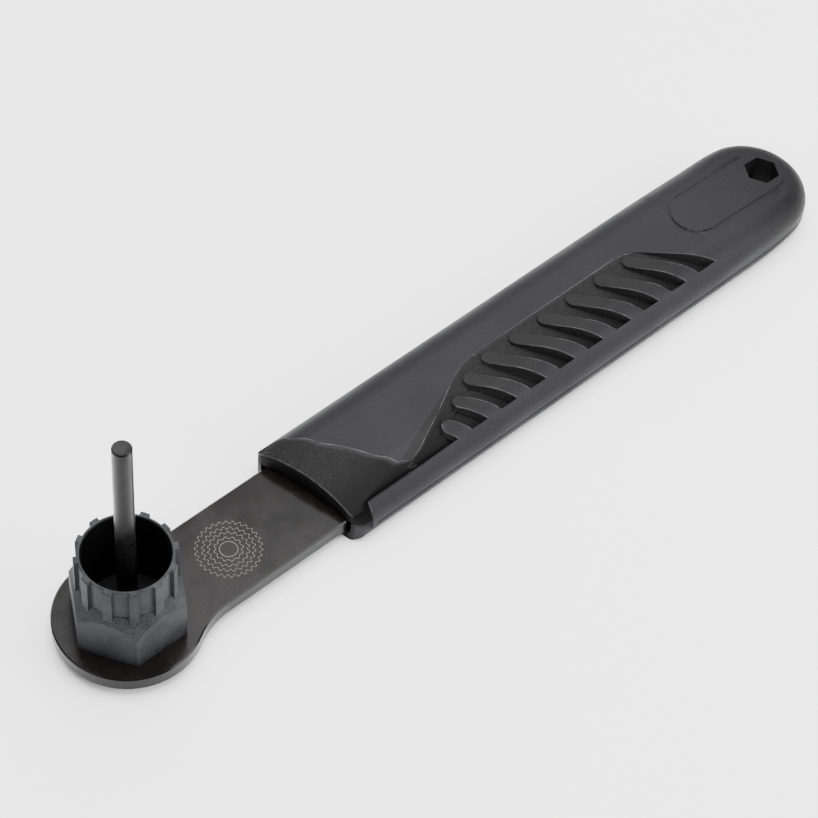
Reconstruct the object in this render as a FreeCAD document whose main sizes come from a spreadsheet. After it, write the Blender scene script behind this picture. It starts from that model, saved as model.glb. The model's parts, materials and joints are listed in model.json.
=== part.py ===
import FreeCAD, Part
import Sketcher
import math
import os

from FreeCAD import Placement, Rotation, Vector

# Cassette lockring tool: a splined socket with a guide pin on the round head of a flat steel bar,
# and a moulded handle over the tang at the bar's other end.
# Millimetres and degrees. The origin lies on the socket's axis at the blade's underside, +Z points
# up along the pin, and +X runs along the handle towards its tail.

# Driving dimensions
SIZES = {
    # Flat steel blade
    "blade_thick": 4.0,
    "blade_wide": 24.0,
    "head_radius": 17.5,
    "neck_radius": 20.0,
    "edge_break": 0.35,
    "shoulder_depth": 14.0,
    "tang_wide": 16.0,
    "tang_length": 110.0,
    "tang_corner": 4.0,
    # Splined socket
    "hexagon_flats": 24.5,
    "hexagon_tall": 15.0,
    "hexagon_cone_angle": 33.0,
    "socket_tall": 24.2,
    "spline_tip_radius": 11.7,
    "spline_root_radius": 10.8,
    "spline_wide": 2.2,
    "spline_length": 11.3,
    "spline_count": 12.0,
    "socket_bore_radius": 10.0,
    "socket_floor": 2.0,
    "rim_break": 0.2,
    "spigot_radius": 8.0,
    "seat_clearance": 0.02,
    # Guide pin
    "pin_radius": 2.3,
    "pin_reach": 38.2,
    "pin_seat_radius": 2.5,
    "pin_seat_depth": 5.0,
    "pin_top_break": 0.3,
    # Outline of the handle
    "grip_front": 52.0,
    "front_slant": 9.7,
    "flank_length": 135.8,
    "grip_half_wide": 15.8,
    "flank_arc_radius": 105.0,
    "tail_narrowing": 0.9,
    "grip_under": 2.8,
    "grip_over": 7.4,
    "brow_before_flank_end": 22.8,
    "brow_radius": 447.0,
    "shoulder_round_front": 8.6,
    "shoulder_round_tail": 6.0,
    "belly_round": 4.0,
    "front_hollow_radius": 98.0,
    "near_corner_back": 2.9,
    "near_corner_in": 4.0,
    "near_corner_run": 6.6,
    "near_corner_round": 4.2,
    "far_corner_ahead": 2.1,
    "far_corner_in": 3.0,
    "far_corner_run": 0.05,
    "far_corner_round": 2.45,
    "slot_side_gap": 1.0,
    "slot_play": 0.05,
    # Raised front lip
    "crown_radius": 44.0,
    "crown_drop": 1.95,
    "crown_shift": 3.0,
    "crown_corner_round": 6.0,
    "nose_length": 7.5,
    # Scooped recess with its rib pads
    "strip_wide": 2.5,
    "scoop_floor": 2.8,
    "scoop_rear_inset": 35.3,
    "plateau_edge": 1.9,
    "pad_count": 9.0,
    "pad_wide": 3.5,
    "pad_angle": 49.8,
    "pad_tip_inset": 2.0,
    "pad_front_inset": 38.3,
    "pad_rear_inset": 21.5,
    # Parting groove, raised panel and hanging hole
    "groove_wide": 0.35,
    "groove_deep": 0.3,
    "groove_front_inset": 9.0,
    "panel_length": 35.8,
    "panel_half_wide": 6.3,
    "panel_raise": 0.5,
    "panel_past_hole": 5.2,
    "hole_past_tail_centre": 3.9,
    "hanging_hole_flats": 8.0,
}

# The tables below are given for a handle with these two sizes and stretch with the real ones.
TABLE_FLANK = 135.8
TABLE_HALF_WIDE = 15.8

# Crest of the slope ahead of the recess, from outside the far flank to the near shoulder: X past the
# front, Y, then Y where the slope meets the front face.
FRONT_SLOPE = [
    (2.0, 17.9, 17.7),
    (2.5, 16.8, 16.5),
    (3.0, 15.6, 15.2),
    (3.4, 14.5, 14.0),
    (3.9, 13.3, 12.6),
    (4.5, 11.7, 10.7),
    (5.4, 10.0, 8.7),
    (8.4, 5.9, 4.0),
    (11.7, 1.8, 0.0),
    (14.6, -2.6, -4.0),
    (17.2, -6.8, -8.0),
    (19.0, -9.5, -11.2),
]

# Crest and foot along the side strip: X past the front, Y, X of the foot, and how much of the way
# from the front face's top edge to the recess's floor the foot has dropped.
SIDE_SLOPE = [
    (21.2, -11.0, 12.0, 0.4),
    (22.6, -11.25, 20.5, 1.0),
    (25.5, -10.8, 27.2, 1.0),
    (29.2, -9.2, 32.7, 1.0),
    (35.2, -6.3, 41.0, 1.0),
    (44.3, -1.3, 54.3, 1.0),
    (50.6, 1.3, 62.9, 1.0),
    (57.0, 1.9, 70.3, 1.0),
]

# Crest and foot at the recess's rear corner: X past the crest's straight part, Y, X of the foot.
REAR_SLOPE = [
    (0.0, 1.9, 13.5),
    (3.7, 1.5, 18.0),
    (6.3, 0.6, 21.7),
]

# Crest where the slope turns from the front face to the strip, how far the slope runs past the face,
# and the share of the half width beyond which its lines run on level, clear of the far shoulder.
TURN_SLOPE = (20.2, -10.5)
FRONT_OVERRUN = 2.5
LEVEL_SHARE = 0.9

doc = FreeCAD.newDocument("lockring_tool")
sheet = doc.addObject("Spreadsheet::Sheet", "Sizes")
for row, (alias, size) in enumerate(SIZES.items(), start=1):
    sheet.set("A%d" % row, alias)
    sheet.set("B%d" % row, str(size))
    sheet.setAlias("B%d" % row, alias)
doc.recompute()


class Dim:
    """A size with its value and the expression that binds it to the sheet."""

    def __init__(self, value, text):
        self.value = value
        self.text = text

    def __add__(self, other):
        other = dim(other)
        return Dim(self.value + other.value, "(%s + %s)" % (self.text, other.text))

    def __sub__(self, other):
        other = dim(other)
        return Dim(self.value - other.value, "(%s - %s)" % (self.text, other.text))

    def __mul__(self, other):
        other = dim(other)
        return Dim(self.value * other.value, "(%s * %s)" % (self.text, other.text))

    def __truediv__(self, other):
        other = dim(other)
        return Dim(self.value / other.value, "(%s / %s)" % (self.text, other.text))

    def __neg__(self):
        return Dim(-self.value, "(0 - %s)" % self.text)


def dim(size):
    """Returns a plain number or a Dim as a Dim."""
    if isinstance(size, Dim):
        return size
    return Dim(float(size), repr(float(size)))


def square_root(size):
    """Square root of a Dim."""
    return Dim(math.sqrt(size.value), "sqrt(%s)" % size.text)


def tangent(size):
    """Tangent of a Dim in degrees."""
    return Dim(math.tan(math.radians(size.value)), "tan(%s)" % size.text)


D = {alias: Dim(float(size), "Sizes.%s" % alias) for alias, size in SIZES.items()}


def bind(thing, prop, size):
    """Binds one property of an object to a size."""
    thing.setExpression(prop, dim(size).text)


def place(thing, x=0, y=0, z=0):
    """Binds the position of an object to three sizes."""
    bind(thing, "Placement.Base.x", x)
    bind(thing, "Placement.Base.y", y)
    bind(thing, "Placement.Base.z", z)
    return thing


def box(name, corner, lengths):
    """A block from its lowest corner and its three lengths."""
    thing = doc.addObject("Part::Box", name)
    for prop, size in zip(("Length", "Width", "Height"), lengths):
        bind(thing, prop, size)
    return place(thing, *corner)


def cylinder(name, radius, height, x=0, y=0, z=0):
    """An upright cylinder from its radius, height and foot."""
    thing = doc.addObject("Part::Cylinder", name)
    bind(thing, "Radius", radius)
    bind(thing, "Height", height)
    return place(thing, x, y, z)


def cone(name, low_radius, high_radius, height, x=0, y=0, z=0):
    """An upright cone from its two radii, height and foot."""
    thing = doc.addObject("Part::Cone", name)
    bind(thing, "Radius1", low_radius)
    bind(thing, "Radius2", high_radius)
    bind(thing, "Height", height)
    return place(thing, x, y, z)


def hexagon_prism(name, flats, height, x=0, y=0, z=0):
    """An upright six-sided prism, with a corner along +X, from its size across flats."""
    thing = doc.addObject("Part::Prism", name)
    thing.Polygon = 6
    bind(thing, "Circumradius", flats / square_root(dim(3)))
    bind(thing, "Height", height)
    return place(thing, x, y, z)


def cut(name, base, tool):
    """The base with the tool taken away."""
    thing = doc.addObject("Part::Cut", name)
    thing.Base = base
    thing.Tool = tool
    thing.Refine = True
    return thing


def fuse(name, pieces):
    """Several touching pieces as one solid."""
    thing = doc.addObject("Part::MultiFuse", name)
    thing.Shapes = pieces
    thing.Refine = True
    return thing


def common(name, pieces):
    """The space that several pieces share."""
    thing = doc.addObject("Part::MultiCommon", name)
    thing.Shapes = pieces
    return thing


def edges_where(shape, test):
    """Numbers, from one, of the edges whose middle point passes a test."""
    found = []
    for number, edge in enumerate(shape.Edges, start=1):
        middle = edge.valueAt((edge.FirstParameter + edge.LastParameter) / 2)
        if test(edge, middle):
            found.append(number)
    return found


def broken(kind, name, base, edges):
    """A Part::Fillet or Part::Chamfer over edges given with their two sizes."""
    thing = doc.addObject(kind, name)
    thing.Base = base
    thing.Edges = edges
    return thing


def near(a, b, tolerance=0.01):
    """Tells whether two lengths are the same."""
    return abs(a - b) < tolerance


def add_sketch(body, role, name, corners, arcs, height=0.0):
    """A closed sketch on an origin plane of its body, with every corner bound to the sheet.

    corners is a list of pairs of sizes. arcs gives, for the side that starts at a corner, its radius
    and whether it turns left, and the other sides are straight.
    """
    drawing = body.newObject("Sketcher::SketchObject", name)
    plane = [item for item in body.Origin.OriginFeatures if item.Role == role][0]
    drawing.AttachmentSupport = [(plane, "")]
    drawing.MapMode = "FlatFace"
    bind(drawing, "AttachmentOffset.Base.z", height)
    corners = [(dim(x), dim(y)) for x, y in corners]
    points = [Vector(x.value, y.value, 0) for x, y in corners]
    count = len(points)
    ends = []
    for side in range(count):
        start = points[side]
        end = points[(side + 1) % count]
        if side in arcs:
            radius, left = arcs[side]
            chord = end - start
            reach = math.sqrt(max(dim(radius).value ** 2 - (chord.Length / 2) ** 2, 0))
            across = Vector(-chord.y, chord.x, 0).normalize() * (reach if left else -reach)
            centre = (start + end) / 2 + across
            first, last = (start, end) if left else (end, start)
            low = math.atan2(first.y - centre.y, first.x - centre.x)
            high = math.atan2(last.y - centre.y, last.x - centre.x)
            if high < low:
                high += 2 * math.pi
            circle = Part.Circle(centre, Vector(0, 0, 1), dim(radius).value)
            drawing.addGeometry(Part.ArcOfCircle(circle, low, high), False)
            ends.append((1, 2) if left else (2, 1))
        else:
            drawing.addGeometry(Part.LineSegment(start, end), False)
            ends.append((1, 2))
    for side in range(count):
        following = (side + 1) % count
        drawing.addConstraint(
            Sketcher.Constraint("Coincident", side, ends[side][1], following, ends[following][0]))
    for side, (x, y) in enumerate(corners):
        for kind, size, axis in (("DistanceX", x, -2), ("DistanceY", y, -1)):
            if size.text == "0.0":
                drawing.addConstraint(
                    Sketcher.Constraint("PointOnObject", side, ends[side][0], axis))
                continue
            number = drawing.addConstraint(
                Sketcher.Constraint(kind, -1, 1, side, ends[side][0], size.value))
            drawing.setExpression("Constraints[%d]" % number, size.text)
    for side, (radius, left) in arcs.items():
        number = drawing.addConstraint(Sketcher.Constraint("Radius", side, dim(radius).value))
        drawing.setExpression("Constraints[%d]" % number, dim(radius).text)
    return drawing


def add_pad(body, name, drawing, length, centred=False):
    """A pad of a sketch, up from its plane or to both sides of it."""
    pad = body.newObject("PartDesign::Pad", name)
    pad.Profile = drawing
    bind(pad, "Length", length)
    if centred:
        pad.Midplane = True
    return pad


# Flat steel blade with its tang
def make_blade():
    """A round head, a bar, two neck fillets and a narrower tang that the handle hides."""
    half = D["blade_wide"] / 2
    bar_end = D["grip_front"] + D["shoulder_depth"]
    tang_end = D["grip_front"] + D["tang_length"]
    middle_level = D["blade_thick"].value / 2
    head = cylinder("blade_head", D["head_radius"], D["blade_thick"])
    bar = box("blade_bar", (0, -half, 0), (bar_end, D["blade_wide"], D["blade_thick"]))
    tang = box("blade_tang", (0, -D["tang_wide"] / 2, 0),
               (tang_end, D["tang_wide"], D["blade_thick"]))
    plate = fuse("blade_plate", [head, bar, tang])
    seat = cylinder("blade_seat", D["spigot_radius"] + D["seat_clearance"], D["blade_thick"])
    bored = cut("blade_bored", plate, seat)
    doc.recompute()

    def is_neck(edge, middle):
        at_side = near(abs(middle.y), half.value)
        return at_side and near(middle.z, middle_level) and middle.x < D["head_radius"].value

    def is_tang_corner(edge, middle):
        return near(middle.x, tang_end.value) and near(middle.z, middle_level)

    edges = [(number, D["neck_radius"].value, D["neck_radius"].value)
             for number in edges_where(bored.Shape, is_neck)]
    edges += [(number, D["tang_corner"].value, D["tang_corner"].value)
              for number in edges_where(bored.Shape, is_tang_corner)]
    shaped = broken("Part::Fillet", "blade_shaped", bored, edges)
    doc.recompute()

    def is_rim(edge, middle):
        level = near(middle.z, 0) or near(middle.z, D["blade_thick"].value)
        outside = math.hypot(middle.x, middle.y) > D["spigot_radius"].value + 1
        return level and outside and middle.x < bar_end.value - 0.1

    edges = [(number, D["edge_break"].value, D["edge_break"].value)
             for number in edges_where(shaped.Shape, is_rim)]
    return broken("Part::Chamfer", "blade", shaped, edges)


# Splined socket on its hexagon, with the spigot that seats it in the head
def make_socket():
    """A hexagon with a turned cone on top, a tube with outer splines, a bore and a pin seat."""
    top = D["blade_thick"] + D["socket_tall"]
    cone_top = D["spline_root_radius"] + 0.1
    cone_foot = cone_top + D["hexagon_tall"] * tangent(D["hexagon_cone_angle"])
    prism = hexagon_prism("socket_prism", D["hexagon_flats"], D["hexagon_tall"],
                          z=D["blade_thick"])
    turned = cone("socket_turned", cone_foot, cone_top, D["hexagon_tall"], z=D["blade_thick"])
    hexagon = common("socket_hexagon", [prism, turned])

    tube = doc.addObject("PartDesign::Body", "socket_tube")
    reach = square_root(D["spline_tip_radius"] * D["spline_tip_radius"]
                        - D["spline_wide"] * D["spline_wide"] / 4)
    inner = D["spline_root_radius"] - 0.5
    round_outline = tube.newObject("Sketcher::SketchObject", "socket_round")
    plane = [item for item in tube.Origin.OriginFeatures if item.Role == "XY_Plane"][0]
    round_outline.AttachmentSupport = [(plane, "")]
    round_outline.MapMode = "FlatFace"
    bind(round_outline, "AttachmentOffset.Base.z", D["blade_thick"])
    circle = Part.Circle(Vector(0, 0, 0), Vector(0, 0, 1), D["spline_root_radius"].value)
    round_outline.addGeometry(circle, False)
    round_outline.addConstraint(Sketcher.Constraint("Coincident", 0, 3, -1, 1))
    round_outline.addConstraint(
        Sketcher.Constraint("Radius", 0, D["spline_root_radius"].value))
    round_outline.setExpression("Constraints[1]", D["spline_root_radius"].text)
    add_pad(tube, "socket_core", round_outline, D["socket_tall"])
    half = D["spline_wide"] / 2
    tooth = add_sketch(tube, "XY_Plane", "socket_tooth",
                       [(inner, -half), (reach, -half), (reach, half), (inner, half)],
                       {1: (D["spline_tip_radius"], True)},
                       height=top - D["spline_length"])
    tooth_pad = add_pad(tube, "socket_tooth_pad", tooth, D["spline_length"])
    doc.recompute()
    pattern = tube.newObject("PartDesign::PolarPattern", "socket_splines")
    pattern.Originals = [tooth_pad]
    pattern.Axis = (tooth, ["N_Axis"])
    pattern.Angle = 360
    bind(pattern, "Occurrences", D["spline_count"])
    tube.Tip = pattern

    spigot = cylinder("socket_spigot", D["spigot_radius"], D["blade_thick"] + 1)
    solid = fuse("socket_solid", [hexagon, tube, spigot])
    floor = D["blade_thick"] + D["socket_floor"]
    bore = cylinder("socket_bore", D["socket_bore_radius"], D["socket_tall"], z=floor)
    seat = cylinder("socket_seat", D["pin_seat_radius"] + D["seat_clearance"],
                    D["pin_seat_depth"] + 1, z=floor - D["pin_seat_depth"])
    tools = fuse("socket_hollow", [bore, seat])
    bored = cut("socket_bored", solid, tools)
    doc.recompute()

    def is_rim(edge, middle):
        return near(middle.z, top.value)

    edges = [(number, D["rim_break"].value, D["rim_break"].value)
             for number in edges_where(bored.Shape, is_rim)]
    return broken("Part::Chamfer", "lockring_socket", bored, edges)


# Guide pin pressed into the socket's floor
def make_pin():
    """A round pin with a thicker pressed end in the blind seat and a broken top edge."""
    foot = D["blade_thick"] + D["socket_floor"] - D["pin_seat_depth"]
    top = D["blade_thick"] + D["socket_tall"] + D["pin_reach"]
    bar = cylinder("pin_bar", D["pin_radius"], top - foot, z=foot)
    pressed = cylinder("pin_pressed_end", D["pin_seat_radius"], D["pin_seat_depth"], z=foot)
    whole = fuse("pin_whole", [bar, pressed])
    doc.recompute()
    edges = [(number, D["pin_top_break"].value, D["pin_top_break"].value)
             for number in edges_where(whole.Shape, lambda edge, middle: near(middle.z, top.value))]
    return broken("Part::Chamfer", "guide_pin", whole, edges)


# Moulded handle
def tail_centre():
    """X of the centre of the handle's round tail, from the arcs that meet it."""
    long_radius = D["flank_arc_radius"]
    half = D["grip_half_wide"]
    tail = half - D["tail_narrowing"]
    between = long_radius - tail
    rise = long_radius - half
    run = square_root(between * between - rise * rise)
    return D["grip_front"] + D["flank_length"] + run


def outline(body, name, inset, height):
    """The handle's outline in plan, drawn inwards by a small inset, with a slanted front."""
    half = D["grip_half_wide"] - inset
    slant = tangent(D["front_slant"])
    long_radius = D["flank_arc_radius"]
    tail = D["grip_half_wide"] - D["tail_narrowing"]
    between = long_radius - tail
    rise = long_radius - D["grip_half_wide"]
    run = square_root(between * between - rise * rise)
    flank_end = D["grip_front"] + D["flank_length"]
    join_x = flank_end + run * (long_radius - inset) / between
    join_y = rise * (long_radius - inset) / between - rise
    return add_sketch(body, "XY_Plane", name,
                      [(D["grip_front"] + slant * half, -half), (flank_end, -half),
                       (join_x, -join_y), (join_x, join_y),
                       (flank_end, half), (D["grip_front"] - slant * half, half)],
                      {1: (long_radius - inset, True), 2: (tail - inset, True),
                       3: (long_radius - inset, True)},
                      height=height)


def side_space(name, raise_by):
    """Everything under the handle's top line, which runs level and then bends down to the tail."""
    body = doc.addObject("PartDesign::Body", name)
    under = D["blade_thick"] + D["grip_over"] + raise_by
    start = D["grip_front"] - D["grip_half_wide"]
    brow = D["grip_front"] + D["flank_length"] - D["brow_before_flank_end"]
    end = tail_centre() + D["grip_half_wide"] + 2
    radius = D["brow_radius"] + raise_by
    run = end - brow
    end_level = under - radius + square_root(radius * radius - run * run)
    drawing = add_sketch(body, "XZ_Plane", name + "_line",
                         [(start, -D["grip_under"]), (end, -D["grip_under"]),
                          (end, end_level), (brow, under), (start, under)],
                         {2: (radius, True)})
    add_pad(body, name + "_pad", drawing, D["grip_half_wide"] * 4, centred=True)
    return body


def shoulder_radius(x):
    """Radius of the handle's top edge at a distance along it."""
    brow = (D["grip_front"] + D["flank_length"] - D["brow_before_flank_end"]).value
    end = (D["grip_front"] + D["flank_length"]).value
    share = min(max((x - brow) / (end - brow), 0), 1)
    front = D["shoulder_round_front"].value
    return front + (D["shoulder_round_tail"].value - front) * share


def make_grip_blank():
    """The handle's outer form before the scoop, slot and lip are cut."""
    plan = doc.addObject("PartDesign::Body", "grip_plan")
    drawing = outline(plan, "grip_outline", dim(0), -D["grip_under"])
    add_pad(plan, "grip_pad", drawing, D["grip_under"] + D["blade_thick"] + D["grip_over"] + 1)
    blank = common("grip_blank", [plan, side_space("grip_side", dim(0))])
    doc.recompute()
    top = (D["blade_thick"] + D["grip_over"]).value
    bottom = -D["grip_under"].value
    slant = math.tan(math.radians(D["front_slant"].value))

    def on_front(point):
        return near(point.x + slant * point.y, D["grip_front"].value)

    def is_shoulder(edge, middle):
        return middle.z > (top + bottom) / 2 and not on_front(middle) and edge_is_outer(edge, middle)

    def edge_is_outer(edge, middle):
        first = edge.Vertexes[0].Point
        last = edge.Vertexes[-1].Point
        across = near(first.x, last.x, 0.5) and abs(first.y - last.y) > 20 and middle.x < \
            tail_centre().value
        upright = near(first.x, last.x) and near(first.y, last.y)
        return not across and not upright

    def is_belly(edge, middle):
        return near(middle.z, bottom) and not on_front(middle)

    edges = []
    for number in edges_where(blank.Shape, is_shoulder):
        edge = blank.Shape.Edges[number - 1]
        first = edge.valueAt(edge.FirstParameter)
        last = edge.valueAt(edge.LastParameter)
        edges.append((number, shoulder_radius(first.x), shoulder_radius(last.x)))
    shouldered = broken("Part::Fillet", "grip_shouldered", blank, edges)
    doc.recompute()
    edges = [(number, D["belly_round"].value, D["belly_round"].value)
             for number in edges_where(shouldered.Shape, is_belly)]
    return broken("Part::Fillet", "grip_rounded", shouldered, edges)


def lip_level(y):
    """Height of the front lip's top at a distance across the handle."""
    half = D["grip_half_wide"].value
    crown = D["crown_radius"].value
    corner = D["crown_corner_round"].value
    peak = (D["blade_thick"] + D["grip_over"] - D["crown_drop"]).value
    shift = D["crown_shift"].value
    low = peak - crown
    for side in (1, -1):
        centre_y = side * (half - corner)
        centre_z = low + math.sqrt((crown - corner) ** 2 - (centre_y - shift) ** 2)
        turn = shift + (centre_y - shift) * crown / (crown - corner)
        if side * y > half:
            return centre_z - (side * y - half) * 3
        if side * (y - turn) > 0:
            return centre_z + math.sqrt(corner ** 2 - (y - centre_y) ** 2)
    return low + math.sqrt(crown ** 2 - (y - shift) ** 2)


def body_level(x, y):
    """Height of the handle's uncut top surface at a point in plan, ahead of the tail."""
    top = (D["blade_thick"] + D["grip_over"]).value
    brow = (D["grip_front"] + D["flank_length"] - D["brow_before_flank_end"]).value
    if x > brow:
        top += math.sqrt(D["brow_radius"].value ** 2 - (x - brow) ** 2) - D["brow_radius"].value
    radius = shoulder_radius(x)
    past = abs(y) - (D["grip_half_wide"].value - radius)
    if past <= 0:
        return top
    if past > radius:
        return top - radius - (past - radius) * 3
    return top - radius + math.sqrt(radius ** 2 - past ** 2)


def front_ends():
    """Ends of the hollow front face in plan: at the near corner and at the far one."""
    near_end = (D["grip_front"] + D["near_corner_back"], D["near_corner_in"] - D["grip_half_wide"])
    far_end = (D["grip_front"] - D["far_corner_ahead"], D["grip_half_wide"] - D["far_corner_in"])
    return near_end, far_end


def front_line(y):
    """X of the hollow front face at a distance across the handle."""
    near_end, far_end = [Vector(x.value, y_end.value, 0) for x, y_end in front_ends()]
    radius = D["front_hollow_radius"].value
    chord = far_end - near_end
    reach = math.sqrt(radius ** 2 - (chord.Length / 2) ** 2)
    centre = (near_end + far_end) / 2 + Vector(-chord.y, chord.x, 0).normalize() * reach
    return centre.x + math.sqrt(radius ** 2 - (y - centre.y) ** 2)


def smooth_edge(points):
    """A smooth curve through points."""
    curve = Part.BSplineCurve()
    curve.interpolate(points, Parameters=[float(n) for n in range(len(points))])
    return curve.toShape()


def raised_prism(name, crest, foot, lift):
    """The space above a ruled surface between two curves, as a solid."""
    surface = Part.makeRuledSurface(smooth_edge(crest), smooth_edge(foot))
    thing = doc.addObject("Part::Feature", name)
    thing.Shape = surface.extrude(lift)
    return thing


def scoop_lines():
    """Crest and foot of the slope that falls from the plateau to the front face and the side strip."""
    half = D["grip_half_wide"].value
    along = D["flank_length"].value / TABLE_FLANK
    across = half / TABLE_HALF_WIDE
    level_y = half * LEVEL_SHARE
    strip = D["strip_wide"].value - half
    floor = D["blade_thick"].value + D["scoop_floor"].value
    start = D["grip_front"].value
    crest = []
    foot = []
    for dx, y, front_y in FRONT_SLOPE:
        x = start + dx * along
        y *= across
        front_y *= across
        high = Vector(x, y, body_level(x, min(y, level_y)))
        low = Vector(front_line(front_y), front_y, lip_level(min(front_y, level_y)))
        crest.append(high)
        foot.append(low + (low - high) * (FRONT_OVERRUN * along / (high.x - low.x)))
    turn_x = start + TURN_SLOPE[0] * along
    turn_y = TURN_SLOPE[1] * across
    crest.append(Vector(turn_x, turn_y, body_level(turn_x, turn_y)))
    foot.append(Vector(front_line(strip) - FRONT_OVERRUN * along, strip, lip_level(strip)))
    for dx, y, foot_dx, drop in SIDE_SLOPE:
        x = start + dx * along
        crest.append(Vector(x, y * across, body_level(x, y * across)))
        level = lip_level(strip) + (floor - lip_level(strip)) * drop
        foot.append(Vector(start + foot_dx * along, strip, level))
    rear = start + D["flank_length"].value - D["scoop_rear_inset"].value * along
    last_high = crest[-1]
    last_low = foot[-1]
    steps = 4
    for step in range(1, steps):
        share = step / steps
        x = last_high.x + (rear - last_high.x) * share
        y = D["plateau_edge"].value
        low_x = last_low.x + (rear + REAR_SLOPE[0][2] * along - last_low.x) * share
        crest.append(Vector(x, y, body_level(x, y)))
        foot.append(Vector(low_x, strip, floor))
    for dx, y, foot_dx in REAR_SLOPE:
        x = rear + dx * along
        crest.append(Vector(x, y * across, body_level(x, y * across)))
        foot.append(Vector(rear + foot_dx * along, strip, floor))
    return crest, foot


def overshoot(crest, foot):
    """The crest moved on up along the slope, clear of the body."""
    return [high + (high - low) * 0.25 for high, low in zip(crest, foot)]


def crest_at(crest, x):
    """Y of the crest at a distance along the handle, between its measured points."""
    for first, second in zip(crest, crest[1:]):
        if first.x <= x <= second.x:
            share = (x - first.x) / (second.x - first.x)
            return first.y + (second.y - first.y) * share
    return crest[-1].y


def make_ribs(crest):
    """Nine bars with round ends, in plan, from the side strip to just short of the crest."""
    turn = math.radians(D["pad_angle"].value)
    along = Vector(math.cos(turn), -math.sin(turn), 0)
    strip = D["strip_wide"].value - D["grip_half_wide"].value
    bars = []
    base = D["blade_thick"].value + 1
    tall = D["grip_over"].value + 2
    stretch = D["flank_length"].value / TABLE_FLANK
    first = D["grip_front"].value + D["pad_front_inset"].value * stretch
    last = (D["grip_front"] + D["flank_length"]).value - D["pad_rear_inset"].value * stretch
    count = int(D["pad_count"].value)
    for number in range(count):
        end = Vector(first + (last - first) * number / (count - 1), strip, base)
        reach = 0.0
        while reach < 40:
            point = end - along * reach
            if point.y >= crest_at(crest, point.x):
                break
            reach += 0.05
        tip = end - along * (reach - D["pad_tip_inset"].value - D["pad_wide"].value / 2)
        bar = doc.addObject("Part::Box", "pad_%d_bar" % (number + 1))
        bar.Length = (end - tip).Length + D["strip_wide"].value
        bind(bar, "Width", D["pad_wide"])
        bar.Height = tall
        side = Vector(math.sin(turn), math.cos(turn), 0) * (D["pad_wide"].value / 2)
        bar.Placement = Placement(tip - side, Rotation(Vector(0, 0, 1), -D["pad_angle"].value))
        end_round = doc.addObject("Part::Cylinder", "pad_%d_end" % (number + 1))
        bind(end_round, "Radius", D["pad_wide"] / 2)
        end_round.Height = tall
        end_round.Placement = Placement(tip, Rotation())
        bars += [bar, end_round]
    return bars


def make_scoop():
    """The space of the recess, less the nine rib pads that stay standing in it."""
    crest, foot = scoop_lines()
    high = overshoot(crest, foot)
    lift = Vector(0, 0, D["grip_over"].value + 5)
    turn = len(FRONT_SLOPE)
    front = raised_prism("scoop_front", high[:turn + 1], foot[:turn + 1], lift)
    side = raised_prism("scoop_side", high[turn:], foot[turn:], lift)
    hollow = fuse("scoop_space", [front, side])
    bars = fuse("pad_bars", make_ribs(crest))
    return cut("grip_scoop", hollow, bars)


def make_front_space():
    """The space ahead of the hollow front face and outside its two rounded upright corners."""
    half = D["grip_half_wide"]
    near_end, far_end = front_ends()
    far_x = D["grip_front"] + D["far_corner_run"]
    near_x = D["grip_front"] + D["near_corner_run"]
    outer = half + D["near_corner_in"]
    ahead_x = D["grip_front"] - outer
    body = doc.addObject("PartDesign::Body", "grip_front_space")
    drawing = add_sketch(
        body, "XY_Plane", "front_space_line",
        [(far_x, half), far_end, near_end, (near_x, -half), (near_x, -outer), (ahead_x, -outer),
         (ahead_x, outer), (far_x, outer)],
        {0: (D["far_corner_round"], True), 1: (D["front_hollow_radius"], False),
         2: (D["near_corner_round"], True)},
        height=-D["grip_under"] - 1)
    add_pad(body, "front_space_pad", drawing,
            D["grip_under"] + D["blade_thick"] + D["grip_over"] + 2)
    return body


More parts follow.
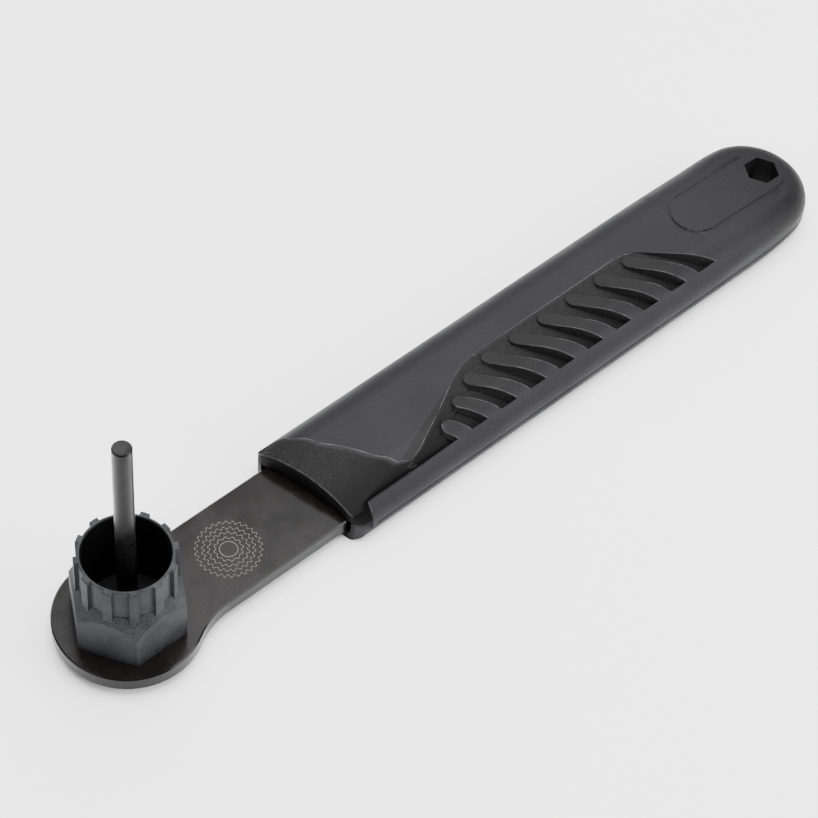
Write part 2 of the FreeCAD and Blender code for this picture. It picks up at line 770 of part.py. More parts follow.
def make_grip():
    """The finished handle."""
    blank = make_grip_blank()
    slot_half = D["blade_wide"] / 2 + D["slot_side_gap"]
    play = D["slot_play"]
    ahead = D["grip_half_wide"]
    slot = box("grip_slot", (D["grip_front"] - ahead, -slot_half, -play),
               (D["shoulder_depth"] + ahead, slot_half * 2, D["blade_thick"] + play * 2))
    tang = box("grip_tang_pocket", (D["grip_front"], -(D["tang_wide"] / 2) - play, -play),
               (D["tang_length"] + play, D["tang_wide"] + play * 2,
                D["blade_thick"] + play * 2))
    hole_x = tail_centre() + D["hole_past_tail_centre"]
    depth = D["grip_under"] + D["blade_thick"] + D["grip_over"] + 4
    hole = hexagon_prism("grip_hanging_hole", D["hanging_hole_flats"], depth,
                         x=hole_x, z=-D["grip_under"] - 2)

    # Parting groove round the flanks and the tail
    ring_body = doc.addObject("PartDesign::Body", "grip_groove_inner")
    middle = D["blade_thick"] / 2
    inner = outline(ring_body, "grip_groove_line", D["groove_deep"],
                    middle - D["groove_wide"] / 2 - 1)
    add_pad(ring_body, "grip_groove_pad", inner, D["groove_wide"] + 2)
    slab = box("grip_groove_slab",
               (D["grip_front"] + D["groove_front_inset"], -D["grip_half_wide"] - 2,
                middle - D["groove_wide"] / 2),
               (D["flank_length"] + D["grip_half_wide"] * 3, D["grip_half_wide"] * 2 + 4,
                D["groove_wide"]))
    groove = cut("grip_groove", slab, ring_body)

    # Raised panel with round ends on the tail
    panel_end = hole_x + D["panel_past_hole"]
    panel_start = panel_end - D["panel_length"]
    radius = D["panel_half_wide"]
    panel_height = D["grip_over"] + 4
    level = D["blade_thick"]
    first = cylinder("panel_front_end", radius, panel_height, x=panel_start + radius, z=level)
    last = cylinder("panel_rear_end", radius, panel_height, x=panel_end - radius, z=level)
    straight = box("panel_straight", (panel_start + radius, -radius, level),
                   (panel_end - panel_start - radius * 2, radius * 2, panel_height))
    pill = fuse("panel_pill", [first, last, straight])
    panel = common("grip_panel", [pill, side_space("panel_side", D["panel_raise"])])

    # Near shoulder of the nose, lower than the side strip behind it
    nose = doc.addObject("PartDesign::Body", "grip_nose")
    half = D["grip_half_wide"]
    corner = D["crown_corner_round"]
    peak = D["blade_thick"] + D["grip_over"] - D["crown_drop"]
    reach = D["crown_radius"] - corner
    across = corner - half - D["crown_shift"]
    centre_z = peak - D["crown_radius"] + square_root(reach * reach - across * across)
    inset = corner - D["strip_wide"]
    strip_z = centre_z + square_root(corner * corner - inset * inset)
    drawing = add_sketch(
        nose, "YZ_Plane", "nose_line",
        [(D["strip_wide"] - half, strip_z), (-half, centre_z), (-half - 4, centre_z),
         (-half - 4, peak + 6), (D["strip_wide"] - half, peak + 6)],
        {0: (corner, True)}, height=D["grip_front"] - 10)
    add_pad(nose, "nose_pad", drawing, D["nose_length"] + 10)

    doc.recompute()
    scoop = make_scoop()
    tools = fuse("grip_tools", [slot, tang, nose, groove])
    fronted = cut("grip_fronted", blank, make_front_space())
    doc.recompute()
    carved = cut("grip_carved", fronted, tools)
    scooped = cut("grip_scooped", carved, scoop)
    joined = fuse("grip_joined", [scooped, panel])
    return cut("handle_grip", joined, hole)


# Nodes, checked and written
nodes = {
    "blade": make_blade(),
    "lockring_socket": make_socket(),
    "guide_pin": make_pin(),
    "handle_grip": make_grip(),
}
doc.recompute()
for thing in doc.Objects:
    if "Invalid" in thing.State or "Error" in thing.State:
        raise RuntimeError("%s failed: %s" % (thing.Name, thing.State))
os.makedirs("parts", exist_ok=True)
for name, node in nodes.items():
    node.Label = name
    shape = node.Shape
    if shape.isNull() or not shape.isValid() or len(shape.Solids) != 1:
        raise RuntimeError("%s is not one valid solid" % name)
    print("%s volume %.1f mm3" % (name, shape.Volume))
    shape.exportStep("parts/%s.step" % name)
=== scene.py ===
import json
import logging
import math
from dataclasses import dataclass
from enum import Enum, IntEnum
from typing import Protocol, Sequence

import bpy
from mathutils import Matrix, Vector
from mathutils.kdtree import KDTree

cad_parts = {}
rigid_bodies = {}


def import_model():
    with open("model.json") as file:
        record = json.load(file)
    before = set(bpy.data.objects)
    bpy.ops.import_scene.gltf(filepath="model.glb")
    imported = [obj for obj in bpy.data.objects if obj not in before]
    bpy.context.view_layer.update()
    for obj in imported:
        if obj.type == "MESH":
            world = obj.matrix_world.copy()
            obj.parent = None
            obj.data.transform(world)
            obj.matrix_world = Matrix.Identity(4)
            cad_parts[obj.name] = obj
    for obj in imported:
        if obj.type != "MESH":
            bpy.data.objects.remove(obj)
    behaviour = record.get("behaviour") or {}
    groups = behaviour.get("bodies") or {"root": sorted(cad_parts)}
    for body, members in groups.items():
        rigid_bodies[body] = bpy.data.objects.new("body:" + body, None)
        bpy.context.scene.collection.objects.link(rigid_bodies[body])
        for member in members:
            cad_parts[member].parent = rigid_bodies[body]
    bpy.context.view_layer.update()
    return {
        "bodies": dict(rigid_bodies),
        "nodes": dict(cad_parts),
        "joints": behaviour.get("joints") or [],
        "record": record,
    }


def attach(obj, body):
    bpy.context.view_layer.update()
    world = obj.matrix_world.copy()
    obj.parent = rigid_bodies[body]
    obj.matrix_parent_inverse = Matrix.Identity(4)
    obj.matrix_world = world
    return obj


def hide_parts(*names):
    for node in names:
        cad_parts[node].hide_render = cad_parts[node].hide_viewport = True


log = logging.getLogger("lockring_tool")

MM = 0.001
BODY = "root"

# Sockets of the Mix node, which has one set for numbers and another for colours
MIX_SHARE = 0
MIX_NUMBERS = (2, 3)
MIX_COLOURS = (6, 7)
MIX_NUMBER_OUT = 0
MIX_COLOUR_OUT = 2

# The parts of a noise's range over which a finish changes
MIDDLE = (0.35, 0.65)
NARROW = (0.40, 0.62)
WIDE = (0.3, 0.7)

# What all faces of the handle's plastic share
COARSE_GRAIN = 0.55 * MM
PLASTIC_GLINT = 0.11
PLASTIC_RELIEF = 0.10 * MM
PLASTIC_RELIEF_STRENGTH = 0.6

# How the etched rings are drawn
POINTS_PER_TOOTH = 4
TIP_POINTS = (0, 1)
PLAIN_POINTS = 64
RING_SUNK = 0.01 * MM

Range = tuple[float, float]
Triple = tuple[float, float, float]
Colour = Triple


class Side(Enum):
    """Which way a studio lamp stands from the tool, as (azimuth, elevation) in degrees."""

    ABOVE = (0.0, 88.0)
    FAR = (44.0, 52.0)
    NEAR = (-61.0, 26.0)
    HEAD_END = (172.0, 26.0)


class Look(IntEnum):
    """The handle's material slots, in the order in which its finishes are added."""

    MOULDED = 0
    # The rounds' finish is a painted highlight.
    RUBBED = 1
    # The pads' steep sides take a paler finish of painted light.
    WALL = 2


# Working helpers


def deselect_all() -> None:
    """Leaves object mode with nothing selected."""
    if bpy.context.object and bpy.context.object.mode != "OBJECT":
        bpy.ops.object.mode_set(mode="OBJECT")
    bpy.ops.object.select_all(action="DESELECT")


def settle(piece: bpy.types.Object) -> None:
    """Moves a piece's place, turn and scale into its mesh.

    Args:
        piece: The finished mesh object.
    """
    deselect_all()
    piece.select_set(True)
    bpy.context.view_layer.objects.active = piece
    bpy.ops.object.transform_apply(location=True, rotation=True, scale=True)


class Wiring:
    """A small hand for joining shader nodes in one material."""

    def __init__(self, name: str) -> None:
        """Starts a material with one Principled shader.

        Args:
            name: The material's name.
        """
        self.material = bpy.data.materials.new(name)
        self.material.use_nodes = True
        self.nodes = self.material.node_tree.nodes
        self.links = self.material.node_tree.links
        self.shader = self.nodes["Principled BSDF"]
        self.place = self.nodes.new("ShaderNodeTexCoord").outputs["Object"]

    def join(self, source: bpy.types.NodeSocket, target: bpy.types.NodeSocket) -> None:
        """Links one socket to another.

        Args:
            source: The output socket.
            target: The input socket.
        """
        self.links.new(source, target)

    def feed(self, target: bpy.types.NodeSocket, value: object) -> None:
        """Gives an input either a link or a plain value.

        Args:
            target: The input socket.
            value: A socket to link, or a number or colour to set.
        """
        if isinstance(value, bpy.types.NodeSocket):
            self.links.new(value, target)
        else:
            target.default_value = value

    def sum(self, kind: str, *values: object) -> bpy.types.NodeSocket:
        """One Math node.

        Args:
            kind: The node's operation, such as MULTIPLY.
            values: Its inputs, as sockets or numbers.

        Returns:
            The result's socket.
        """
        node = self.nodes.new("ShaderNodeMath")
        node.operation = kind
        for target, value in zip(node.inputs, values):
            self.feed(target, value)
        return node.outputs[0]

    def ramp(self, value: object, low: float, high: float, to_low: float = 0.0,
             to_high: float = 1.0) -> bpy.types.NodeSocket:
        """A smooth change from one value to another.

        Args:
            value: The socket that is read.
            low: Where the change starts.
            high: Where it ends.
            to_low: The result at the start.
            to_high: The result at the end.

        Returns:
            The result's socket.
        """
        node = self.nodes.new("ShaderNodeMapRange")
        node.interpolation_type = "SMOOTHSTEP"
        self.feed(node.inputs["Value"], value)
        node.inputs["From Min"].default_value = low
        node.inputs["From Max"].default_value = high
        node.inputs["To Min"].default_value = to_low
        node.inputs["To Max"].default_value = to_high
        return node.outputs["Result"]

    def noise(self, size: float, detail: float = 3.0, roughness: float = 0.6,
              stretch: Triple = (1.0, 1.0, 1.0)) -> bpy.types.NodeSocket:
        """A noise pattern on Object coordinates.

        Args:
            size: The pattern's grain, in metres.
            detail: How many finer layers it has.
            roughness: How strong the finer layers are.
            stretch: How much denser the pattern is along X, Y and Z.

        Returns:
            The socket of its value, around 0.5.
        """
        place = self.place
        if stretch != (1.0, 1.0, 1.0):
            mapping = self.nodes.new("ShaderNodeMapping")
            mapping.inputs["Scale"].default_value = stretch
            self.join(self.place, mapping.inputs["Vector"])
            place = mapping.outputs["Vector"]
        node = self.nodes.new("ShaderNodeTexNoise")
        node.inputs["Scale"].default_value = 1.0 / size
        node.inputs["Detail"].default_value = detail
        node.inputs["Roughness"].default_value = roughness
        self.join(place, node.inputs["Vector"])
        return node.outputs["Fac"]

    def weigh(self, first: object, second: object, share: float) -> bpy.types.NodeSocket:
        """Two patterns added, so that their shares make one whole.

        Args:
            first: The first pattern's socket.
            second: The second pattern's socket.
            share: How much of the first, from 0 to 1.

        Returns:
            The sum's socket.
        """
        return self.sum("ADD", self.sum("MULTIPLY", first, share),
                        self.sum("MULTIPLY", second, 1.0 - share))

    def blend(self, share: object, first: object, second: object) -> bpy.types.NodeSocket:
        """A mix of two colours.

        Args:
            share: How much of the second colour, as a socket.
            first: The first colour, plain or as a socket.
            second: The second colour, plain or as a socket.

        Returns:
            The mixed colour's socket.
        """
        node = self.nodes.new("ShaderNodeMix")
        node.data_type = "RGBA"
        self.feed(node.inputs[MIX_SHARE], share)
        for place, colour in zip(MIX_COLOURS, (first, second)):
            plain = not isinstance(colour, bpy.types.NodeSocket)
            self.feed(node.inputs[place], (*colour, 1.0) if plain else colour)
        return node.outputs[MIX_COLOUR_OUT]

    def mix(self, share: object, first: object, second: object) -> bpy.types.NodeSocket:
        """A mix of two numbers.

        Args:
            share: How much of the second number, as a socket.
            first: The first number or socket.
            second: The second number or socket.

        Returns:
            The mixed number's socket.
        """
        node = self.nodes.new("ShaderNodeMix")
        self.feed(node.inputs[MIX_SHARE], share)
        for place, number in zip(MIX_NUMBERS, (first, second)):
            self.feed(node.inputs[place], number)
        return node.outputs[MIX_NUMBER_OUT]

    def axes(self) -> tuple[bpy.types.NodeSocket, bpy.types.NodeSocket, bpy.types.NodeSocket]:
        """The place of the shaded point.

        Returns:
            The sockets of its X, Y and Z, in metres.
        """
        node = self.nodes.new("ShaderNodeSeparateXYZ")
        self.join(self.place, node.inputs[0])
        return node.outputs[0], node.outputs[1], node.outputs[2]

    def coat(self, colour: object, roughness: object, glint: float, metal: float = 0.0) -> None:
        """Gives the shader its colour and the way it reflects.

        Args:
            colour: The colour's socket.
            roughness: The roughness, as a number or a socket.
            glint: The specular level.
            metal: How metallic it is.
        """
        self.feed(self.shader.inputs["Base Color"], colour)
        self.feed(self.shader.inputs["Roughness"], roughness)
        self.shader.inputs["Specular IOR Level"].default_value = glint
        self.shader.inputs["Metallic"].default_value = metal

    def relief(self, height: bpy.types.NodeSocket, depth: float, strength: float) -> None:
        """Gives the shader a fine relief.

        Args:
            height: The relief's height from 0 to 1.
            depth: What a height of 1 means, in metres.
            strength: How strongly it shows.
        """
        node = self.nodes.new("ShaderNodeBump")
        node.inputs["Strength"].default_value = strength
        node.inputs["Distance"].default_value = depth
        self.join(height, node.inputs["Height"])
        self.join(node.outputs["Normal"], self.shader.inputs["Normal"])


# Finishes


class Finish(Protocol):
    """What every finish can do."""

    def make(self) -> bpy.types.Material:
        """Builds the material.

        Returns:
            The finish's material.
        """


@dataclass(frozen=True)
class HandleForm:
    """The handle's outer form as if nothing were cut from it, and the rear rim of its recess.

    The form has a flat top and round shoulders. The rim is a straight line in plan that passes
    through (rear_x, rear_y) and runs back by rear_run for each step towards the side strip.
    """

    top: float = 11.4 * MM
    half_wide: float = 15.8 * MM
    shoulder: float = 8.6 * MM
    rear_x: float = 158.8 * MM
    rear_y: float = 0.6 * MM
    rear_run: float = 1.108

    def depth(self, point: Vector) -> float:
        """How far a point lies below the outer form.

        Args:
            point: The point, in metres.

        Returns:
            The depth in metres.
        """
        past = max(abs(point.y) - (self.half_wide - self.shoulder), 0.0)
        arc = math.sqrt(max(self.shoulder ** 2 - past ** 2, 0.0))
        return self.top - self.shoulder + arc - point.z

    def rear(self, y: float) -> float:
        """Where the recess's rear rim lies.

        Args:
            y: The place across the handle, in metres.

        Returns:
            The rim's X there, in metres.
        """
        return self.rear_x + (self.rear_y - y) * self.rear_run


@dataclass(frozen=True)
class MouldedHandle:
    """Black moulded plastic, with a fine grain on top and a coarse one where it is cut. The coarse
    grain is the plastic's own, but its darker tone is painted shade.

    The pads' tops and the tail have the fine grain, with painted shade that makes them darker than
    the plateau. The recess gets painted shade that darkens it from its crest towards the side
    strip.
    """

    form: HandleForm = HandleForm()
    smooth: Colour = (0.0056, 0.0055, 0.0062)
    smooth_light: Colour = (0.0098, 0.0096, 0.0108)
    # The cut faces' coarse grain is the plastic's own; their darker colours are painted shade.
    cut: Colour = (0.0040, 0.0038, 0.0039)
    cut_light: Colour = (0.0088, 0.0083, 0.0084)
    # Painted shade in the recess, nearly black towards the side strip.
    painted_recess_shade: Colour = (0.0012, 0.0011, 0.0013)
    # Painted shade for the pads' tops and the tail, darker than the plateau.
    pad: Colour = (0.0022, 0.0021, 0.0024)
    pad_light: Colour = (0.0052, 0.0050, 0.0056)
    roughness: Range = (0.46, 0.55)
    cut_roughness: float = 0.72
    fine_grain: float = 0.30 * MM
    fine_relief: float = 0.35
    cloud: float = 14 * MM
    cut_end: float = 176.0 * MM
    cut_depth: Range = (0.05 * MM, 0.35 * MM)
    underside: float = 3.6 * MM
    crest_side: float = -1.0 * MM
    strip_side: float = -12.5 * MM
    pads_from: float = 72.2 * MM
    crest_low: float = -10.5 * MM
    crest_high: float = 1.7 * MM
    crest_rise: float = 0.385
    pad_fade: Range = (-13.4 * MM, -8.0 * MM)
    # Where along the handle the tail's painted shade grows, and how strong it gets.
    tail: Range = (184.0 * MM, 206.0 * MM)
    tail_shade_share: float = 0.75

    def depth(self, wiring: Wiring) -> bpy.types.NodeSocket:
        """How far the shaded point lies below the handle's outer form.

        Args:
            wiring: The material's wiring.

        Returns:
            A socket with the depth in metres.
        """
        _, y, z = wiring.axes()
        past = wiring.sum("MAXIMUM", wiring.sum("SUBTRACT", wiring.sum("ABSOLUTE", y),
                                                self.form.half_wide - self.form.shoulder), 0.0)
        square = wiring.sum("SUBTRACT", self.form.shoulder ** 2, wiring.sum("MULTIPLY", past, past))
        arc = wiring.sum("SQRT", wiring.sum("MAXIMUM", square, 0.0))
        outer = wiring.sum("ADD", arc, self.form.top - self.form.shoulder)
        return wiring.sum("SUBTRACT", outer, z)

    def pad_shade_area(self, wiring: Wiring) -> bpy.types.NodeSocket:
        """Where in plan the pads get painted shade, fading out towards the side strip.

        Args:
            wiring: The material's wiring.

        Returns:
            A socket that is 1 on the pads' inner ends and 0 elsewhere.
        """
        x, y, _ = wiring.axes()
        crest = wiring.sum("MULTIPLY_ADD", wiring.sum("SUBTRACT", x, self.pads_from),
                           self.crest_rise, self.crest_low)
        inside = wiring.sum("LESS_THAN", y, wiring.sum("MINIMUM", crest, self.crest_high))
        rear = wiring.sum("MULTIPLY_ADD", wiring.sum("SUBTRACT", self.form.rear_y, y),
                          self.form.rear_run, self.form.rear_x)
        along = wiring.sum("LESS_THAN", x, rear)
        across = wiring.ramp(y, *self.pad_fade)
        return wiring.sum("MULTIPLY", wiring.sum("MULTIPLY", inside, along), across)

    def make(self) -> bpy.types.Material:
        """Builds the material.

        Returns:
            The handle's material.
        """
        wiring = Wiring("moulded_handle")
        x, y, z = wiring.axes()
        area = wiring.sum("MULTIPLY", wiring.sum("LESS_THAN", x, self.cut_end),
                          wiring.sum("GREATER_THAN", z, self.underside))
        share = wiring.sum("MULTIPLY", area, wiring.ramp(self.depth(wiring), *self.cut_depth))
        # Painted shade: the cut faces darken from the recess's crest towards the side strip.
        painted_recess_shade = wiring.sum("MULTIPLY", share, wiring.ramp(y, self.crest_side, self.strip_side))
        fine = wiring.noise(self.fine_grain, detail=2.0)
        coarse = wiring.noise(COARSE_GRAIN, detail=3.0, roughness=0.7)
        cloud = wiring.noise(self.cloud, detail=2.0)
        spots = wiring.ramp(fine, *MIDDLE)
        smooth = wiring.blend(spots, self.smooth, self.smooth_light)
        # Painted shade: the pads' tops and the tail take these darker colours.
        pads = wiring.blend(spots, self.pad, self.pad_light)
        tail = wiring.ramp(x, *self.tail, 0.0, self.tail_shade_share)
        smooth = wiring.blend(wiring.sum("MAXIMUM", self.pad_shade_area(wiring), tail), smooth, pads)
        rough = wiring.blend(wiring.ramp(coarse, *NARROW), self.cut, self.cut_light)
        colour = wiring.blend(painted_recess_shade, wiring.blend(share, smooth, rough), self.painted_recess_shade)
        gloss = wiring.ramp(cloud, *WIDE, *self.roughness)
        wiring.coat(colour, wiring.mix(share, gloss, self.cut_roughness), PLASTIC_GLINT)
        height = wiring.mix(share, wiring.sum("MULTIPLY", fine, self.fine_relief), coarse)
        wiring.relief(height, PLASTIC_RELIEF, PLASTIC_RELIEF_STRENGTH)
        return wiring.material


@dataclass(frozen=True)
class PadWall:
    """The same plastic on the pads' steep sides, made paler with painted light that lifts them out
    of their shade.
    """

    # Both colours are paler than the plastic elsewhere: painted light.
    dark: Colour = (0.0080, 0.0077, 0.0080)
    light: Colour = (0.0160, 0.0152, 0.0156)
    roughness: Range = (0.66, 0.78)

    def make(self) -> bpy.types.Material:
        """Builds the material.

        Returns:
            The walls' material.
        """
        wiring = Wiring("pad_wall")
        grain = wiring.noise(COARSE_GRAIN, detail=3.0, roughness=0.7)
        colour = wiring.blend(wiring.ramp(grain, *NARROW), self.dark, self.light)
        wiring.coat(colour, wiring.ramp(grain, *WIDE, *self.roughness), PLASTIC_GLINT)
        wiring.relief(grain, PLASTIC_RELIEF, PLASTIC_RELIEF_STRENGTH)
        return wiring.material


@dataclass(frozen=True)
class PaintedHighlightEdge:
    """The same plastic on its small rounds, made paler and glossier as a painted highlight."""

    # Paler than the plastic elsewhere: a painted highlight.
    dark: Colour = (0.0110, 0.0108, 0.0118)
    light: Colour = (0.0240, 0.0236, 0.0256)
    roughness: Range = (0.30, 0.46)
    glint: float = 0.2
    patch: float = 1.2 * MM

    def make(self) -> bpy.types.Material:
        """Builds the material.

        Returns:
            The rounds' material.
        """
        wiring = Wiring("painted_highlight_edge")
        highlight_mottle = wiring.noise(self.patch, detail=4.0, roughness=0.7)
        colour = wiring.blend(wiring.ramp(highlight_mottle, *MIDDLE), self.dark, self.light)
        wiring.coat(colour, wiring.ramp(highlight_mottle, *WIDE, *self.roughness), self.glint)
        return wiring.material


@dataclass(frozen=True)
class CoatedBlade:
    """Satin dark coating on flat steel, faintly warm, with fine lengthwise rolling marks, and
    painted shade on its sides and underside.
    """

    dark: Colour = (0.0030, 0.0025, 0.0024)
    light: Colour = (0.0052, 0.0044, 0.0042)
    # Painted shade for the blade's sides and underside, below the top face.
    side: Colour = (0.0012, 0.0011, 0.0012)
    face_level: float = 3.9 * MM
    roughness: Range = (0.15, 0.26)
    glint: float = 0.13
    cloud: float = 9 * MM
    cloud_share: float = 0.6
    speck: float = 0.35 * MM
    speck_share: float = 0.6
    marks: float = 0.25 * MM
    marks_stretch: Triple = (0.03, 1.0, 1.0)
    relief: float = 0.02 * MM
    relief_strength: float = 0.35

    def make(self) -> bpy.types.Material:
        """Builds the material.

        Returns:
            The blade's material.
        """
        wiring = Wiring("coated_blade")
        cloud = wiring.noise(self.cloud, detail=4.0)
        speck = wiring.noise(self.speck, detail=2.0)
        marks = wiring.noise(self.marks, detail=2.0, stretch=self.marks_stretch)
        mixed = wiring.weigh(cloud, speck, self.cloud_share)
        colour = wiring.blend(wiring.ramp(mixed, *MIDDLE), self.dark, self.light)
        _, _, z = wiring.axes()
        # Painted shade: everything below the top face is painted nearly black.
        colour = wiring.blend(wiring.sum("LESS_THAN", z, self.face_level), colour, self.side)
        wiring.coat(colour, wiring.ramp(cloud, *WIDE, *self.roughness), self.glint)
        height = wiring.weigh(speck, marks, self.speck_share)
        wiring.relief(height, self.relief, self.relief_strength)
        return wiring.material


@dataclass(frozen=True)
class PhosphatedSocket:
    """Matt phosphated steel: a cool dark grey with a crystalline speckle, and painted shade inside
    the bore.
    """

    dark: Colour = (0.0080, 0.0083, 0.0095)
    light: Colour = (0.0300, 0.0312, 0.0350)
    spread: Range = (0.36, 0.64)
    # Painted shade inside the socket's bore, nearly black.
    bore: Colour = (0.0012, 0.0012, 0.0013)
    bore_radius: float = 10.25 * MM
    bore_floor: float = 5.9 * MM
    roughness: Range = (0.52, 0.66)
    glint: float = 0.18
    metal: float = 0.3
    grain: float = 0.40 * MM
    grain_share: float = 0.7
    cloud: float = 6 * MM
    relief: float = 0.04 * MM
    relief_strength: float = 0.6

    def in_bore(self, wiring: Wiring) -> bpy.types.NodeSocket:
        """Where the shaded point lies inside the socket's bore, which gets painted shade.

        Args:
            wiring: The material's wiring.

        Returns:
            A socket that is 1 in the bore and 0 elsewhere.
        """
        x, y, z = wiring.axes()
        square = wiring.sum("ADD", wiring.sum("MULTIPLY", x, x), wiring.sum("MULTIPLY", y, y))
        return wiring.sum("MULTIPLY",
                          wiring.sum("LESS_THAN", wiring.sum("SQRT", square), self.bore_radius),
                          wiring.sum("GREATER_THAN", z, self.bore_floor))

    def make(self) -> bpy.types.Material:
        """Builds the material.

        Returns:
            The socket's material.
        """
        wiring = Wiring("phosphated_socket")
        grain = wiring.noise(self.grain, detail=3.0, roughness=0.7)
        cloud = wiring.noise(self.cloud, detail=3.0)
        mixed = wiring.weigh(grain, cloud, self.grain_share)
        colour = wiring.blend(wiring.ramp(mixed, *self.spread), self.dark, self.light)
        # Painted shade: the bore's inside is painted nearly black.
        colour = wiring.blend(self.in_bore(wiring), colour, self.bore)
        wiring.coat(colour, wiring.ramp(grain, *WIDE, *self.roughness), self.glint, self.metal)
        wiring.relief(grain, self.relief, self.relief_strength)
        return wiring.material


@dataclass(frozen=True)
class SatinPin:
    """Satin dark steel with faint turned rings round the pin."""

    dark: Colour = (0.0080, 0.0078, 0.0082)
    light: Colour = (0.0140, 0.0137, 0.0143)
    roughness: Range = (0.26, 0.36)
    glint: float = 0.15
    metal: float = 0.7
    rings: float = 0.30 * MM
    rings_stretch: Triple = (0.05, 0.05, 1.0)
    cloud: float = 5 * MM
    relief: float = 0.01 * MM
    relief_strength: float = 0.3

    def make(self) -> bpy.types.Material:
        """Builds the material.

        Returns:
            The pin's material.
        """
        wiring = Wiring("satin_pin")
        rings = wiring.noise(self.rings, detail=2.0, stretch=self.rings_stretch)
        cloud = wiring.noise(self.cloud, detail=3.0)
        colour = wiring.blend(wiring.ramp(cloud, *MIDDLE), self.dark, self.light)
        wiring.coat(colour, wiring.ramp(cloud, *WIDE, *self.roughness), self.glint, self.metal)
        wiring.relief(rings, self.relief, self.relief_strength)
        return wiring.material


@dataclass(frozen=True)
class EtchedLine:
    """Bare steel where the coating is etched away in thin lines."""

    dark: Colour = (0.035, 0.032, 0.028)
    light: Colour = (0.080, 0.073, 0.066)
    roughness: Range = (0.45, 0.6)
    glint: float = 0.5
    metal: float = 0.2
    grain: float = 0.25 * MM

    def make(self) -> bpy.types.Material:
        """Builds the material.

        Returns:
            The etched lines' material.
        """
        wiring = Wiring("etched_line")
        grain = wiring.noise(self.grain, detail=2.0)
        colour = wiring.blend(wiring.ramp(grain, *MIDDLE), self.dark, self.light)
        wiring.coat(colour, wiring.ramp(grain, *WIDE, *self.roughness), self.glint, self.metal)
        return wiring.material


@dataclass(frozen=True)
class PaleFloor:
    """Matt white paper sweep."""

    white: Colour = (0.86, 0.86, 0.86)
    shade: Colour = (0.84, 0.84, 0.845)
    roughness: float = 0.9
    glint: float = 0.1
    patch: float = 60 * MM

    def make(self) -> bpy.types.Material:
        """Builds the material.

        Returns:
            The floor's material.
        """
        wiring = Wiring("pale_floor")
        colour = wiring.blend(wiring.noise(self.patch, detail=2.0), self.white, self.shade)
        wiring.coat(colour, self.roughness, self.glint)
        return wiring.material


# Sub-assemblies


@dataclass
class SolidPiece:
    """A piece whose shape comes from the frame and only gets its finish here."""

    node: str
    finish: Finish

    def dress(self, frame: dict) -> bpy.types.Object:
        """Gives the node its material.


        Returns:
            The node's object.
        """
        piece = frame["nodes"][self.node]
        material = self.finish.make()
        if not piece.material_slots:
            piece.data.materials.append(material)
        for slot in piece.material_slots:
            slot.material = material
        return piece


